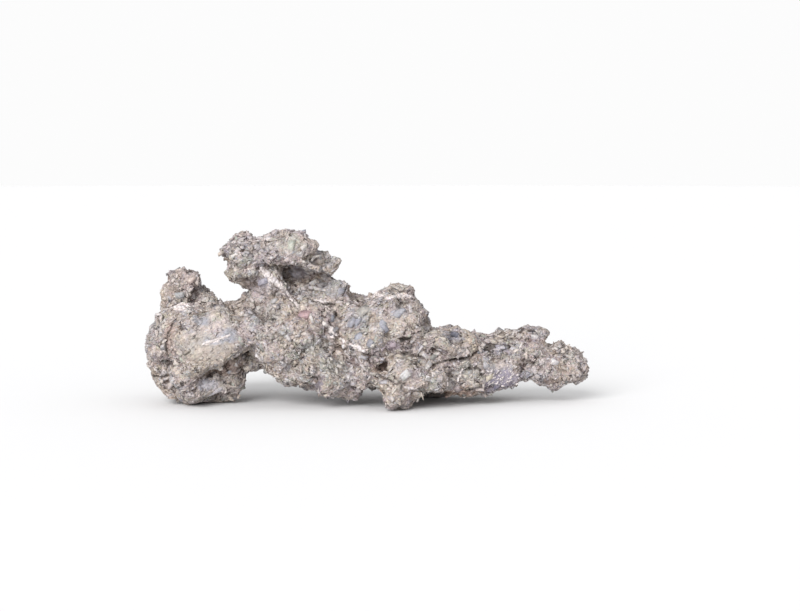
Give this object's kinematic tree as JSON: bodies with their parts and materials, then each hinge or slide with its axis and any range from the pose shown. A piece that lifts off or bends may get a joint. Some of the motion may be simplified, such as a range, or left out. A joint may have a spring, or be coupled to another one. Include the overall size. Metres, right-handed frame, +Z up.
{
  "type": "aquascaping stone",
  "caption": "Long cavernous conglomerate stone for an aquarium: a boulder foot, a small arch, an overhanging head and a low tapering tail.",
  "frame": {"origin": "centre of the bounding box in plan, on the surface that the stone stands on", "axes": "+Z up; +X along the stone from the boulder end to the thin tail; -Y is the front, the side with the hollow under the head"},
  "size_m": [0.444, 0.168, 0.176],
  "materials": {
    "stone": "rough, matte, broken faces of cemented fragments"
  },
  "bodies": {
    "root": {"ibigawa_rock": "stone"}
  },
  "joints": []
}
